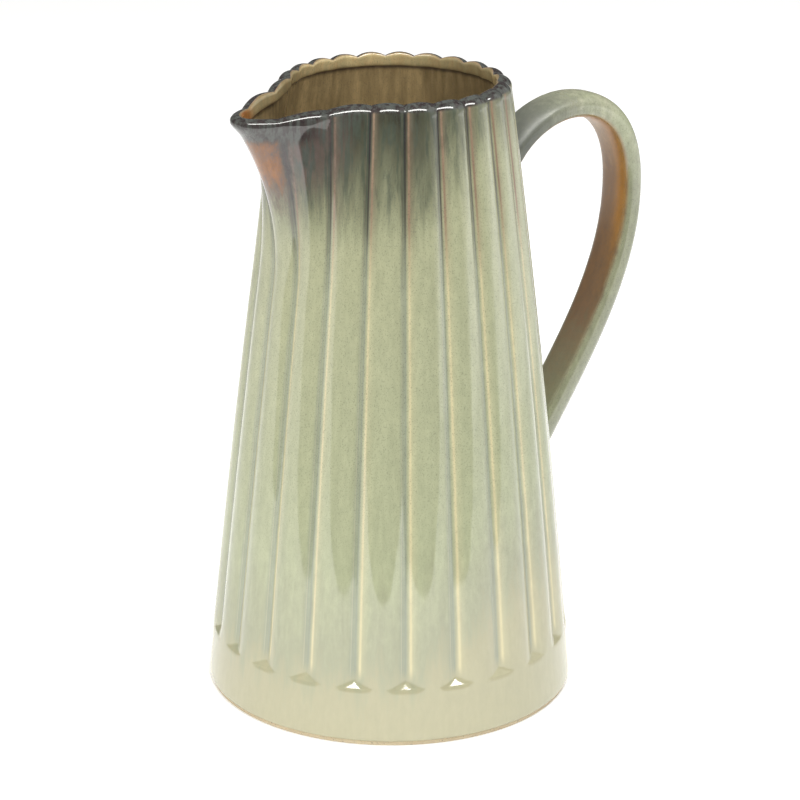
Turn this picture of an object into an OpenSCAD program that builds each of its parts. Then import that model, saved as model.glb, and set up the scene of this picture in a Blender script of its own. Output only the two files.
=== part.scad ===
// Tall fluted stoneware pitcher with a pulled spout and a strap handle.
// The axis is Z, the table is z = 0, the spout points to -X and the handle to +X.

/* [Body] */
// Height from the table to the top of the rim
height = 250; // [230:1:270]
// Outer radius of the side where it would meet the table
foot_r = 74.6; // [70:0.1:80]
// Outer radius of the mouth, over the flutes
mouth_r = 45.35; // [42:0.05:50]
// How far the side bows out halfway up
side_bow = 1.5; // [0:0.1:3]
// Thickness of the wall
wall = 4.5; // [4:0.1:5.5]

/* [Foot and floor] */
// Height of the bare clay foot ring
foot_h = 2; // [2:0.5:4]
// Width of the ring that touches the table
foot_w = 10; // [8:0.5:12]
// Thickness of the floor above the foot ring
floor_t = 7; // [5:0.5:8]
// Height of the plain band below the flutes
band_h = 23; // [18:1:30]

/* [Flutes] */
// Number of flutes around the body
flutes = 22; // [20:2:24]
// Depth of the grooves low on the body
groove_low = 2.7; // [1.5:0.1:3]
// Depth of the grooves at the rim
groove_high = 2.1; // [1:0.1:2.5]
// Height of the sloping ledge where a groove ends at the band
ledge_h = 4; // [3:0.5:6]
// How far the tops of the flutes stand above the grooves on the rim
rim_wave = 0.8; // [0:0.1:2]

/* [Spout] */
// How far the spout reaches out past the mouth
spout_reach = 31; // [20:1:36]
// Height at which the spout starts to leave the side
spout_foot = 175; // [165:1:185]
// Angle over which the spout's pull fades, in degrees
spout_spread = 20.5; // [18:0.5:23]
// How far the rim dips at the spout
spout_dip = 5.2; // [0:0.1:8]

/* [Rim] */
// Height of the thick rim bead
bead_h = 5; // [4:0.5:7]
// How much thicker the bead is than the wall
bead_extra = 1.3; // [0.5:0.1:2]

/* [Handle] */
// Width of the strap
strap_w = 18; // [15:0.5:22]
// Thickness of the strap
strap_t = 9; // [7:0.5:10]
// Distance from the axis to the middle of the strap at its widest
handle_reach = 120.6; // [110:0.1:130]
// Height at which the handle reaches furthest out
handle_shoulder = 189; // [180:1:195]
// Height of the middle of the upper root
upper_root = 203; // [198:1:208]
// Height of the middle of the lower root
lower_root = 80; // [70:1:90]

/* [Hidden] */
$fn = 128;

glaze_sage = [0.68, 0.73, 0.60];
glaze_cream = [0.85, 0.83, 0.66];
glaze_dark = [0.30, 0.32, 0.30];
glaze_rust = [0.56, 0.38, 0.22];
bare_clay = [0.82, 0.66, 0.50];

// How far the foot ring is set in from the side, and the size of the cut on its lower edges
foot_inset = 1.1;
foot_cut = 0.8;
// Height and depth of the curve where the wall meets the floor inside
cove_h = 6;
cove_depth = 1.2;

// Columns across one flute, as parts of a flute from its crest
flute_steps = [-0.5, -0.36, -0.18, 0, 0.18, 0.36];
columns = flutes * len(flute_steps);
// The three flutes that the spout takes are centred opposite the handle
spout_first = (flutes / 2 - 1) * len(flute_steps);
spout_last = (flutes / 2 + 2) * len(flute_steps);
spout_low = 197;
bead_low = height - bead_h;
floor_top = foot_h + floor_t;
floor_r = 66;
// Share of the groove's depth that shows on the inside of the shell
inner_wave = 0.35;

// How the spout's pull spreads: sideways shift, its fade angle, and the dip's fade angle
shift_gain = 0.743;
shift_spread = 13.9;
dip_spread = 24;
pull_power = 1.9;

// Heights of the rows of the wall, closer together where the spout is pulled out
wall_heights = [band_h, band_h + ledge_h, 90, 150, 187, spout_low, 206, 214, 222, 230, 238, bead_low];
// A row of the shell is [height, outer inset, inner inset]
body_rows = [for (z = wall_heights) [z, 0, wall]];
spout_rows = [for (row = body_rows) if (row[0] >= spout_low) row];
// The bead swells a little past the wall and rounds over at the top
bead_rows = [
    [bead_low, 0, wall + bead_extra],
    [height - 2.4, -0.2, wall + bead_extra + 0.1],
    [height - 0.7, 0.7, wall + 0.5],
    [height, 1.9, wall - 0.5]];

// ---- the surface of the body ----

function side_r(z) =
    let (s = z / height)
    foot_r + (mouth_r - foot_r) * s + side_bow * 4 * s * (1 - s);

function bell(a, spread) = exp(-(a / spread) * (a / spread));

// Depth of a groove across one flute, from 0 on the crest to 1 at the bottom of the groove
function groove(u) =
    let (f = 2 * abs(u - round(u)))
    f * f;

// Grooves start above the plain band and get shallower towards the rim
function groove_depth(z) =
    z <= band_h ? 0 : groove_low + (groove_high - groove_low) * z / height;

function pull(z) = pow(max(0, z - spout_foot) / (height - spout_foot), pull_power);

// Angle from the spout's middle, with the flutes beside it spread apart as the spout is pulled out
function spout_angle(u, z) =
    let (a = (u - flutes / 2) * 360 / flutes)
    a * (1 + shift_gain * bell(a, shift_spread) * pull(z));

function skin(u, z) =
    let (
        a = spout_angle(u, z),
        r = side_r(z) + spout_reach * bell(a, spout_spread) * pull(z))
    [-r * cos(a), -r * sin(a)];

function inward(u, z) =
    let (
        d = skin(u + 0.05, z) - skin(u - 0.05, z),
        n = [-d[1], d[0]])
    n / norm(n);

function dip(u, z) = spout_dip * bell(spout_angle(u, z), dip_spread) * pull(z);

function wave(u, z) = z > bead_low ? rim_wave * groove(u) * (z - bead_low) / bead_h : 0;

// A point of the shell, set in from the smooth side by inset and by a share of the groove
function shell_point(u, row, inset, groove_share) =
    let (
        z = row[0],
        p = skin(u, z) + inward(u, z) * (inset + groove_share * groove(u) * groove_depth(z)))
    [p[0], p[1], z - dip(u, z) - wave(u, z)];

function column_u(c) =
    floor(c / len(flute_steps)) + flute_steps[c % len(flute_steps)];

// Closed shell of the rows, over the columns first to last, without the cells that gap() names.
// Each point has its outer and its inner copy, and faces close the shell where a cell has no neighbour.
module shell(rows, first, last, gap = function (c, r) false) {
    round_about = last - first == columns;
    n = round_about ? columns : last - first + 1;
    cells = last - first;
    m = len(rows);
    points = [
        for (side = [0, 1]) for (r = [0:m - 1]) for (c = [0:n - 1])
            side == 0
                ? shell_point(column_u(first + c), rows[r], rows[r][1], 1)
                : shell_point(column_u(first + c), rows[r], rows[r][2], inner_wave)];
    out = function (c, r) r * n + c % n;
    inn = function (c, r) n * m + r * n + c % n;
    there = function (c, r)
        r >= 0 && r < m - 1
        && (round_about || (c >= 0 && c < cells))
        && !gap(first + (c + cells) % cells, r);
    quad = function (a, b, c, d) [[a, b, c], [a, c, d]];
    faces = [
        for (r = [0:m - 2]) for (c = [0:cells - 1]) if (there(c, r))
            each concat(
                quad(out(c, r), out(c, r + 1), out(c + 1, r + 1), out(c + 1, r)),
                quad(inn(c, r), inn(c + 1, r), inn(c + 1, r + 1), inn(c, r + 1)),
                there(c, r - 1) ? []
                    : quad(out(c, r), out(c + 1, r), inn(c + 1, r), inn(c, r)),
                there(c, r + 1) ? []
                    : quad(out(c, r + 1), inn(c, r + 1), inn(c + 1, r + 1), out(c + 1, r + 1)),
                there(c - 1, r) ? []
                    : quad(out(c, r), inn(c, r), inn(c, r + 1), out(c, r + 1)),
                there(c + 1, r) ? []
                    : quad(out(c + 1, r), out(c + 1, r + 1), inn(c + 1, r + 1), inn(c + 1, r)))];
    polyhedron(points, faces);
}

// ---- the strap of the handle ----

function bezier(p, t) =
    pow(1 - t, 3) * p[0] + 3 * pow(1 - t, 2) * t * p[1] + 3 * (1 - t) * t * t * p[2] + pow(t, 3) * p[3];

function bezier_way(p, t) =
    let (
        d = (1 - t) * (1 - t) * (p[1] - p[0]) + 2 * (1 - t) * t * (p[2] - p[1]) + t * t * (p[3] - p[2]))
    d / norm(d);

// The arch over the top and the long run down to the lower root, as [distance from the axis, height]
upper_arc = [
    [side_r(upper_root), upper_root],
    [side_r(upper_root) + 12, upper_root + 31],
    [handle_reach, handle_shoulder + 51],
    [handle_reach, handle_shoulder]];
lower_arc = [
    [handle_reach, handle_shoulder],
    [handle_reach, handle_shoulder - 37],
    [side_r(lower_root) + 29.5, lower_root + 41],
    [side_r(lower_root), lower_root]];

// Places along the arcs where the luted joints end and the strap begins
upper_end = 0.16;
lower_end = 0.84;
arch_steps = 14;
run_steps = 14;

strap_places = [0, 0.3, 0.6, 0.82, 0.95, 1];
function across(i) = i < 5 ? -strap_places[5 - i] : strap_places[i - 5];
side_columns = 11;
edge_power = 2.6;
// How far the middle of the strap's thickness lies outside its centre line
strap_out = 0.8;
function edge(q) = pow(1 - pow(0.97 * abs(q), edge_power), 1 / edge_power);

// One section of the strap: the upper side from left to right, then the under side back again
function section(p, way, width, thick) =
    let (up = [-way[1], way[0]])
    [
        for (side = [1, -1]) for (i = [0:side_columns - 1])
            let (
                q = across(side > 0 ? i : side_columns - 1 - i),
                c = p + up * (strap_out + side * thick / 2 * edge(q)))
            [c[0], q * width / 2, c[1]]];

// A point of the wall's own faces: c counts columns from the handle's crest, and z is the height
function wall_point(c, z) =
    let (
        k = max([for (r = [0:len(body_rows) - 2]) if (body_rows[r][0] <= z) r]),
        share = (z - body_rows[k][0]) / (body_rows[k + 1][0] - body_rows[k][0]),
        low = [for (j = [floor(c), ceil(c)]) shell_point(column_u(columns + 3 + j), body_rows[k], 0, 1)],
        high = [for (j = [floor(c), ceil(c)]) shell_point(column_u(columns + 3 + j), body_rows[k + 1], 0, 1)],
        side = c - floor(c),
        a = low[0] * (1 - side) + low[1] * side,
        b = high[0] * (1 - side) + high[1] * side)
    a + (b - a) * share;

// The end of a joint on the wall, where order is 1 if its upper edge comes first
function root_section(z, half_h, marks, order) =
    [
        for (side = [1, -1]) for (i = [0:side_columns - 1])
            let (k = side > 0 ? i : side_columns - 1 - i)
            wall_point(sign(across(k)) * marks[abs(k - 5)], z + order * side * half_h * edge(across(k)))];

module loft(sections) {
    n = len(sections[0]);
    m = len(sections);
    points = [for (s = sections) each s];
    sides = [
        for (k = [0:m - 2]) for (i = [0:n - 1])
            let (j = (i + 1) % n)
            each [
                [k * n + i, k * n + j, (k + 1) * n + j],
                [k * n + i, (k + 1) * n + j, (k + 1) * n + i]]];
    start_cap = [
        for (i = [0:side_columns - 2])
            each [[i, n - 1 - i, i + 1], [i + 1, n - 1 - i, n - 2 - i]]];
    end_cap = [for (f = start_cap) [f[2] + (m - 1) * n, f[1] + (m - 1) * n, f[0] + (m - 1) * n]];
    polyhedron(points, concat(sides, start_cap, end_cap));
}

// Sections of a joint, from the strap at place t to the root on the wall, with a hollow fillet.
// The middle sections stop short of the wall, at the share near of the way to it.
function joint_sections(arc, t, wall_end, root, near) =
    [
        for (k = [0:joint_steps])
            let (
                s = k / joint_steps,
                place = t + (wall_end - t) * near * s,
                strap = section(bezier(arc, place), bezier_way(arc, place), strap_w, strap_t),
                w = pow(s, fillet_power))
            strap * (1 - w) + root * w];

function reversed(list) = [for (k = [len(list) - 1:-1:0]) list[k]];

// Columns of the wall that the edge of each root follows
upper_marks = [0, 1, 2, 3, 4, 4.5];
lower_marks = [0, 1, 2, 2.6, 3, 3.5];
upper_half_h = 13.5;
lower_half_h = 12;
joint_steps = 5;
fillet_power = 2.2;
near_wall = 0.45;

// ---- the pieces ----

module foot_ring() {
    outer = foot_r - foot_inset;
    inner = outer - foot_w;
    color(bare_clay)
    rotate_extrude()
    polygon([
        [inner, foot_h],
        [inner, foot_cut],
        [inner + foot_cut, 0],
        [outer - foot_cut, 0],
        [outer, foot_cut],
        [outer, foot_h]]);
}

module floor_disc() {
    color(glaze_cream)
    translate([0, 0, foot_h])
    cylinder(r = floor_r, h = floor_t);
}

module base_band() {
    cove_z = floor_top + cove_h / 3;
    color(glaze_cream)
    rotate_extrude()
    polygon([
        [floor_r, foot_h],
        [side_r(foot_h) - foot_cut / 2, foot_h],
        [side_r(foot_h + foot_cut), foot_h + foot_cut],
        [side_r(band_h), band_h],
        [side_r(band_h) - wall, band_h],
        [side_r(floor_top + cove_h) - wall, floor_top + cove_h],
        [side_r(cove_z) - wall - cove_depth, cove_z],
        [floor_r, floor_top]]);
}

module fluted_wall() {
    spout_row = len(body_rows) - len(spout_rows);
    color(glaze_sage)
    shell(body_rows, 0, columns,
        gap = function (c, r) r >= spout_row && c >= spout_first && c < spout_last);
}

module spout() {
    color(glaze_rust)
    shell(spout_rows, spout_first, spout_last);
}

module rim_bead() {
    color(glaze_dark)
    shell(bead_rows, 0, columns);
}

module handle() {
    color(glaze_sage)
    loft(concat(
        [for (k = [0:arch_steps])
            let (t = upper_end + (1 - upper_end) * k / arch_steps)
            section(bezier(upper_arc, t), bezier_way(upper_arc, t), strap_w, strap_t)],
        [for (k = [1:run_steps])
            let (t = lower_end * k / run_steps)
            section(bezier(lower_arc, t), bezier_way(lower_arc, t), strap_w, strap_t)]));
}

module handle_upper_joint() {
    root = root_section(upper_root, upper_half_h, upper_marks, 1);
    color(glaze_dark)
    loft(reversed(joint_sections(upper_arc, upper_end, 0, root, near_wall)));
}

module handle_lower_joint() {
    root = root_section(lower_root, lower_half_h, lower_marks, -1);
    color(glaze_sage)
    loft(joint_sections(lower_arc, lower_end, 1, root, near_wall));
}

foot_ring();
floor_disc();
base_band();
fluted_wall();
spout();
rim_bead();
handle();
handle_upper_joint();
handle_lower_joint();
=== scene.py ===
import math

import bpy
import numpy as np
from mathutils import Matrix, Vector
from mathutils.bvhtree import BVHTree


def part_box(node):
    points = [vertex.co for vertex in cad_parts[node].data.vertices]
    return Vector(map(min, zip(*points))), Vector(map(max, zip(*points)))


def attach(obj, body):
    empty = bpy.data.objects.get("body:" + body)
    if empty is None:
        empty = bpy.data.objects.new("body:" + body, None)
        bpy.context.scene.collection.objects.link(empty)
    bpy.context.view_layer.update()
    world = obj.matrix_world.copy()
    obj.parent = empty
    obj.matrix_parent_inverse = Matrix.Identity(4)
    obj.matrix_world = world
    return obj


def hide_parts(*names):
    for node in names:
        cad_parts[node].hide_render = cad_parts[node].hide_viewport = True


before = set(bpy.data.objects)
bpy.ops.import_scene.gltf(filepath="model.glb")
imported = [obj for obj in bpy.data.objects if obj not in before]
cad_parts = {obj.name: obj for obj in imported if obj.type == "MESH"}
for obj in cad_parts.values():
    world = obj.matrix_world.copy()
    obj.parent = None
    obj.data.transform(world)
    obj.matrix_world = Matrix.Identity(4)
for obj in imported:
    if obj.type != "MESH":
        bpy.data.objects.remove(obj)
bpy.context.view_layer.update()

# A tall fluted stoneware pitcher under a running celadon glaze.
# The axis is Z, the table is z = 0, the spout points to -X and the handle to +X. Lengths are metres.

MM = 0.001

# ---------------------------------------------------------------- sizes of the pot

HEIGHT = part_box("rim_bead")[1][2]
FOOT_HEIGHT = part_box("foot_ring")[1][2]
FLOOR_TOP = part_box("floor_disc")[1][2]
FLOOR_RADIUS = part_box("floor_disc")[1][0]
BAND_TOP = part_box("base_band")[1][2]
SPOUT_LOW = 197 * MM
BEAD_LOW = HEIGHT - 5 * MM

# The side tapers from the foot to the mouth with a slight belly
FOOT_RADIUS = 74.6 * MM
MOUTH_RADIUS = 45.35 * MM
SIDE_BOW = 1.5 * MM
WALL = 4.5 * MM
COVE = 9 * MM

# Grooves between the lobes, low down and at the mouth, and the ledge they end on above the band
FLUTES = 22
GROOVE_LOW = 2.7 * MM
GROOVE_HIGH = 2.1 * MM
GROOVE_FILLET = 0.45 * MM
GROOVE_SHARE = 0.93
LEDGE_SLOPE = 0.85
LEDGE_BLEND = 0.3 * MM
LOBE_TOE = 0.35 * MM
TOE_HEIGHT = 7 * MM

# The scalloped bead round the mouth
RIM_WAVE = 1.1 * MM
RIM_CREST = 0.7 * MM
BEAD_PEAK = 4.2 * MM
BEAD_SHOULDER = 3.9 * MM
BEAD_BULGE = 0.15 * MM
LIP_DROP = 1.7 * MM
LIP_WIDTH = 1.6 * MM
LIP_CURL = 0.9 * MM

# The pull of the spout; the spreads are degrees round the pot
SPOUT_REACH = 31 * MM
SPOUT_FOOT = 175 * MM
SPOUT_SPREAD = 20.5
SPOUT_DIP = 5.2 * MM
PULL_POWER = 1.9
SHIFT_GAIN = 0.743
SHIFT_SPREAD = 13.9
DIP_SPREAD = 24
CURL_SPREAD = 13.0

# The strap, with the half thickness of its inner and outer side at four marks along it
STRAP_WIDTH = 18 * MM
STRAP_MARKS = (0, 0.5, 0.8, 1)
STRAP_INNER = (5.4 * MM, 5.7 * MM, 4.0 * MM, 3.7 * MM)
STRAP_OUTER = (4.1 * MM, 6.2 * MM, 8.2 * MM, 9.3 * MM)

# The strap's line: it leaves the upper root, goes over the crown, turns down and comes in to the lower root
UPPER_ROOT = 203 * MM
UPPER_LEAVE = (12 * MM, 234 * MM)
HANDLE_REACH = 120.6 * MM
HANDLE_CROWN = 240 * MM
HANDLE_SHOULDER = 189 * MM
HANDLE_TURN = 152 * MM
LOWER_LEAVE = (29.5 * MM, 121 * MM)
LOWER_ROOT = 80 * MM


# ---------------------------------------------------------------- sums inside node trees

class Number:
    """A number in a node tree. Sums of Numbers become Math nodes."""

    def __init__(self, tree, socket):
        self.tree = tree
        self.socket = socket

    def math(self, operation, *others, clamp=False):
        node = self.tree.nodes.new("ShaderNodeMath")
        node.operation = operation
        node.use_clamp = clamp
        for slot, value in zip(node.inputs, (self,) + others):
            if isinstance(value, Number):
                self.tree.links.new(value.socket, slot)
            else:
                slot.default_value = value
        return Number(self.tree, node.outputs[0])

    def __add__(self, other):
        return self.math("ADD", other)

    def __radd__(self, other):
        return self.math("ADD", other)

    def __mul__(self, other):
        return self.math("MULTIPLY", other)

    def __rmul__(self, other):
        return self.math("MULTIPLY", other)

    def __sub__(self, other):
        return self.math("SUBTRACT", other)

    def __rsub__(self, other):
        return (self * -1) + other

    def __truediv__(self, other):
        return self.math("DIVIDE", other)

    def __pow__(self, other):
        return self.math("POWER", other)

    def __abs__(self):
        return self.math("ABSOLUTE")

    def at_least(self, other):
        return self.math("MAXIMUM", other)

    def clamped(self):
        return self.math("ADD", 0.0, clamp=True)

    def bell(self, spread):
        """1 at zero, fading with distance as a bell curve."""
        return ((self / spread) ** 2.0 * -1).math("EXPONENT")

    def ramp(self, low, high):
        """0 below low, 1 above high, with soft ends."""
        node = self.tree.nodes.new("ShaderNodeMapRange")
        node.interpolation_type = "SMOOTHSTEP"
        self.tree.links.new(self.socket, node.inputs["Value"])
        for name, value in (("From Min", low), ("From Max", high)):
            if isinstance(value, Number):
                self.tree.links.new(value.socket, node.inputs[name])
            else:
                node.inputs[name].default_value = value
        return Number(self.tree, node.outputs["Result"])


# ---------------------------------------------------------------- the form of the body

FORM_SIZES = (
    ("Flutes", FLUTES), ("Height", HEIGHT), ("Foot radius", FOOT_RADIUS), ("Mouth radius", MOUTH_RADIUS),
    ("Side bow", SIDE_BOW), ("Groove low", GROOVE_LOW), ("Groove high", GROOVE_HIGH),
    ("Groove fillet", GROOVE_FILLET), ("Band top", BAND_TOP), ("Ledge slope", LEDGE_SLOPE),
    ("Lobe toe", LOBE_TOE), ("Spout reach", SPOUT_REACH), ("Spout foot", SPOUT_FOOT),
    ("Spout spread", SPOUT_SPREAD), ("Spout dip", SPOUT_DIP), ("Rim wave", RIM_WAVE),
    ("Bead low", BEAD_LOW), ("Lip curl", LIP_CURL),
)


def form_tree(material):
    """Geometry nodes that form the flat sheet of clay into the fluted, spouted body.

    The sheet's X counts flutes from the handle, its Y is the inset from the smooth side, and its Z is
    the height. The attribute groove_share says how much of the groove a point takes.
    """
    tree = bpy.data.node_groups.new("form_the_body", "GeometryNodeTree")
    tree.interface.new_socket("Geometry", in_out="INPUT", socket_type="NodeSocketGeometry")
    for name, value in FORM_SIZES:
        socket = tree.interface.new_socket(name, in_out="INPUT", socket_type="NodeSocketFloat")
        socket.default_value = value
    tree.interface.new_socket("Geometry", in_out="OUTPUT", socket_type="NodeSocketGeometry")
    start = tree.nodes.new("NodeGroupInput")
    size = {name: Number(tree, start.outputs[name]) for name, _ in FORM_SIZES}

    place = tree.nodes.new("GeometryNodeInputPosition")
    split = tree.nodes.new("ShaderNodeSeparateXYZ")
    tree.links.new(place.outputs[0], split.inputs[0])
    flute, inset, height = (Number(tree, split.outputs[k]) for k in range(3))
    named = tree.nodes.new("GeometryNodeInputNamedAttribute")
    named.data_type = "FLOAT"
    named.inputs["Name"].default_value = "groove_share"
    share = Number(tree, named.outputs["Attribute"])

    up = height / size["Height"]
    side = (size["Foot radius"] + (size["Mouth radius"] - size["Foot radius"]) * up
            + size["Side bow"] * 4 * up * (1 - up))
    pull = (height - size["Spout foot"]).at_least(0.0) / (size["Height"] - size["Spout foot"])
    pull = pull ** PULL_POWER

    def turned(step):
        """Angle from the spout's middle, in degrees, a step of a flute to the side."""
        plain = (flute + step - size["Flutes"] * 0.5) * 360 / size["Flutes"]
        return plain * (1 + plain.bell(SHIFT_SPREAD) * SHIFT_GAIN * pull)

    def skin(step):
        angle = turned(step)
        radius = side + size["Spout reach"] * angle.bell(size["Spout spread"]) * pull
        turn = angle * (math.pi / 180)
        return radius * -1 * turn.math("COSINE"), radius * -1 * turn.math("SINE")

    x, y = skin(0.0)
    x_before, y_before = skin(-0.05)
    x_after, y_after = skin(0.05)
    along_x, along_y = x_after - x_before, y_after - y_before
    length = (along_x * along_x + along_y * along_y).math("SQRT")
    inward_x, inward_y = along_y * -1 / length, along_x / length

    groove = (abs(flute - flute.math("ROUND")) * 2) ** 2.0
    full = size["Groove low"] + (size["Groove high"] - size["Groove low"]) * up
    rounded = (groove * full).math("SMOOTH_MIN", full * GROOVE_SHARE, size["Groove fillet"])
    ledge = (height - size["Band top"]).at_least(0.0) * size["Ledge slope"]
    fill = (1 - ((height - size["Band top"]) / TOE_HEIGHT).clamped()) * size["Lobe toe"]
    depth = (rounded - fill).math("SMOOTH_MIN", ledge, LEDGE_BLEND).at_least(0.0)

    curl_height = ((height - size["Bead low"] + 3 * MM) / (8 * MM)).clamped()
    curl = size["Lip curl"] * turned(0.0).bell(CURL_SPREAD) * (curl_height * math.pi).math("SINE")
    inset_all = inset + share * depth - curl
    dip = size["Spout dip"] * turned(0.0).bell(DIP_SPREAD) * pull
    rise = ((height - size["Bead low"]).at_least(0.0) / (size["Height"] - size["Bead low"]))
    wave = size["Rim wave"] * groove * rise

    join = tree.nodes.new("ShaderNodeCombineXYZ")
    for slot, value in zip(join.inputs, (x + inward_x * inset_all, y + inward_y * inset_all,
                                         height - dip - wave)):
        tree.links.new(value.socket, slot)

    keep = tree.nodes.new("GeometryNodeStoreNamedAttribute")
    keep.data_type = "FLOAT"
    keep.domain = "POINT"
    keep.inputs["Name"].default_value = "groove"
    tree.links.new(start.outputs["Geometry"], keep.inputs["Geometry"])
    tree.links.new((rounded / full).socket, keep.inputs["Value"])
    move = tree.nodes.new("GeometryNodeSetPosition")
    tree.links.new(keep.outputs["Geometry"], move.inputs["Geometry"])
    tree.links.new(join.outputs[0], move.inputs["Position"])
    real = tree.nodes.new("GeometryNodeRealizeInstances")
    tree.links.new(move.outputs["Geometry"], real.inputs["Geometry"])
    paint = tree.nodes.new("GeometryNodeSetMaterial")
    paint.inputs["Material"].default_value = material
    tree.links.new(real.outputs["Geometry"], paint.inputs["Geometry"])
    end = tree.nodes.new("NodeGroupOutput")
    tree.links.new(paint.outputs["Geometry"], end.inputs["Geometry"])
    return tree


def side_radius(z):
    up = z / HEIGHT
    return FOOT_RADIUS + (MOUTH_RADIUS - FOOT_RADIUS) * up + SIDE_BOW * 4 * up * (1 - up)


def sheet_rows():
    """The body's section, from the foot up the outside, over the rim and down the inside.

    A row of the sheet is (height, inset, share of the groove, how far inside).
    """
    rows = []
    marks = {}

    def add(z, inset, share, inside):
        rows.append((z, inset, share, inside))

    add(FOOT_HEIGHT, 0.55 * MM, 1, 0)
    add(FOOT_HEIGHT + 0.15 * MM, 0.3 * MM, 1, 0)
    add(FOOT_HEIGHT + 0.5 * MM, 0.1 * MM, 1, 0)
    add(FOOT_HEIGHT + 1.2 * MM, 0, 1, 0)
    for z in np.linspace(FOOT_HEIGHT + 4 * MM, BAND_TOP - 2 * MM, 5):
        add(float(z), 0, 1, 0)
    marks["band_out"] = len(rows)
    for z in np.arange(BAND_TOP, BAND_TOP + 6 * MM, 0.35 * MM):
        add(float(z), 0, 1, 0)
    for z in np.linspace(BAND_TOP + 7 * MM, SPOUT_LOW, 40)[:-1]:
        add(float(z), 0, 1, 0)
    marks["spout_out"] = len(rows)
    upper = np.linspace(SPOUT_LOW, BEAD_LOW, 25)
    for z in upper:
        add(float(z), 0, 1, 0)
    marks["bead_out"] = len(rows) - 1

    top = HEIGHT + RIM_CREST
    shoulder = top - BEAD_SHOULDER
    add(BEAD_LOW + 0.7 * MM, -0.05 * MM, 1, 0)
    for turn in np.linspace(0, math.pi / 2, 10):
        add(shoulder + (top - shoulder) * math.sin(turn),
            -BEAD_BULGE + (BEAD_PEAK + BEAD_BULGE) * (1 - math.cos(turn)),
            1 - 0.35 * math.sin(turn), 0.5 * math.sin(turn))
    for turn in np.linspace(0, math.pi / 2, 7)[1:]:
        add(top - LIP_DROP * (1 - math.cos(turn)), BEAD_PEAK + LIP_WIDTH * math.sin(turn),
            0.65 - 0.4 * math.sin(turn), 0.5 + 0.5 * math.sin(turn))
    for z, inset in ((3, 5.85), (4.2, 5.85), (4.7, 5.6), (5.0, 5.1)):
        add(HEIGHT - z * MM, inset * MM, 0.2, 1)
    marks["bead_in"] = len(rows)
    inner = upper[::-1].copy()
    inner[0] -= 0.35 * MM
    for z in inner:
        add(float(z), WALL, 0.3, 1)
    marks["spout_in"] = len(rows) - 1
    for z in np.linspace(SPOUT_LOW, BAND_TOP, 24)[1:]:
        add(float(z), WALL, 0.35, 1)
    marks["band_in"] = len(rows) - 1
    wall_foot = side_radius(FLOOR_TOP + COVE) - WALL
    for turn in np.linspace(0, math.pi / 2, 8):
        radius = wall_foot - (wall_foot - FLOOR_RADIUS) * (1 - math.cos(turn))
        z = FLOOR_TOP + COVE * (1 - math.sin(turn))
        add(z, side_radius(z) - radius, 0, 1)
    add(FOOT_HEIGHT, side_radius(FOOT_HEIGHT) - FLOOR_RADIUS, 0, 1)
    return rows, marks


# The columns of one flute close up towards its grooves
STEPS = 16
FLUTE_STEPS = [0.5 * math.sin(math.pi / 2 * (2 * k / STEPS - 1)) for k in range(STEPS)]

ROWS, MARKS = sheet_rows()
COLUMNS = [flute + step for flute in range(FLUTES) for step in FLUTE_STEPS]
N_COLS = len(COLUMNS)
SPOUT_FIRST = (FLUTES // 2 - 1) * STEPS
SPOUT_END = (FLUTES // 2 + 2) * STEPS


def vertex(row, column):
    return row * N_COLS + column % N_COLS


def flat_sheet():
    """The clay sheet before it is formed: one vertex for each row and column."""
    mesh = bpy.data.meshes.new("flat_sheet")
    points = [(u, inset, z) for z, inset, _, _ in ROWS for u in COLUMNS]
    faces = [(vertex(r, c), vertex(r, c + 1), vertex(r + 1, c + 1), vertex(r + 1, c))
             for r in range(len(ROWS) - 1) for c in range(N_COLS)]
    mesh.from_pydata(points, [], faces)
    share = mesh.attributes.new("groove_share", "FLOAT", "POINT")
    share.data.foreach_set("value", [row[2] for row in ROWS for _ in COLUMNS])
    return mesh


def form_body(material):
    """Runs the geometry nodes on the sheet and returns points, normals and groove depths."""
    sheet = bpy.data.objects.new("clay_sheet", flat_sheet())
    bpy.context.scene.collection.objects.link(sheet)
    modifier = sheet.modifiers.new("form the body", "NODES")
    tree = form_tree(material)
    modifier.node_group = tree
    sizes = dict(FORM_SIZES)
    for item in tree.interface.items_tree:
        if item.in_out == "INPUT" and item.name in sizes:
            modifier[item.identifier] = float(sizes[item.name])
    graph = bpy.context.evaluated_depsgraph_get()
    formed = bpy.data.meshes.new_from_object(sheet.evaluated_get(graph), depsgraph=graph)
    sheet.modifiers.clear()
    bpy.data.objects.remove(sheet)
    count = len(formed.vertices)
    points = np.empty(count * 3)
    formed.vertices.foreach_get("co", points)
    normals = np.empty(count * 3)
    formed.vertex_normals.foreach_get("vector", normals)
    groove = np.empty(count)
    formed.attributes["groove"].data.foreach_get("value", groove)
    return formed, points.reshape(-1, 3), normals.reshape(-1, 3), groove


def make_piece(name, points, faces, normals, material, corner_maps, point_values):
    """A closed piece with its own mesh, its glaze map and its smooth normals."""
    used = sorted({v for face in faces for v in face})
    index = {v: k for k, v in enumerate(used)}
    mesh = bpy.data.meshes.new(name)
    mesh.from_pydata([tuple(points[v]) for v in used], [], [[index[v] for v in face] for face in faces])
    mesh.materials.append(material)
    for key, values in point_values.items():
        layer = mesh.attributes.new(key, "FLOAT", "POINT")
        layer.data.foreach_set("value", [float(values[v]) for v in used])
    layer = mesh.uv_layers.new(name="glaze_map")
    layer.data.foreach_set("uv", [x for corner in corner_maps for x in corner])
    for polygon in mesh.polygons:
        polygon.use_smooth = True
    mesh.normals_split_custom_set([tuple(n) for n in normals])
    piece = bpy.data.objects.new(name, mesh)
    bpy.context.scene.collection.objects.link(piece)
    return piece


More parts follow.
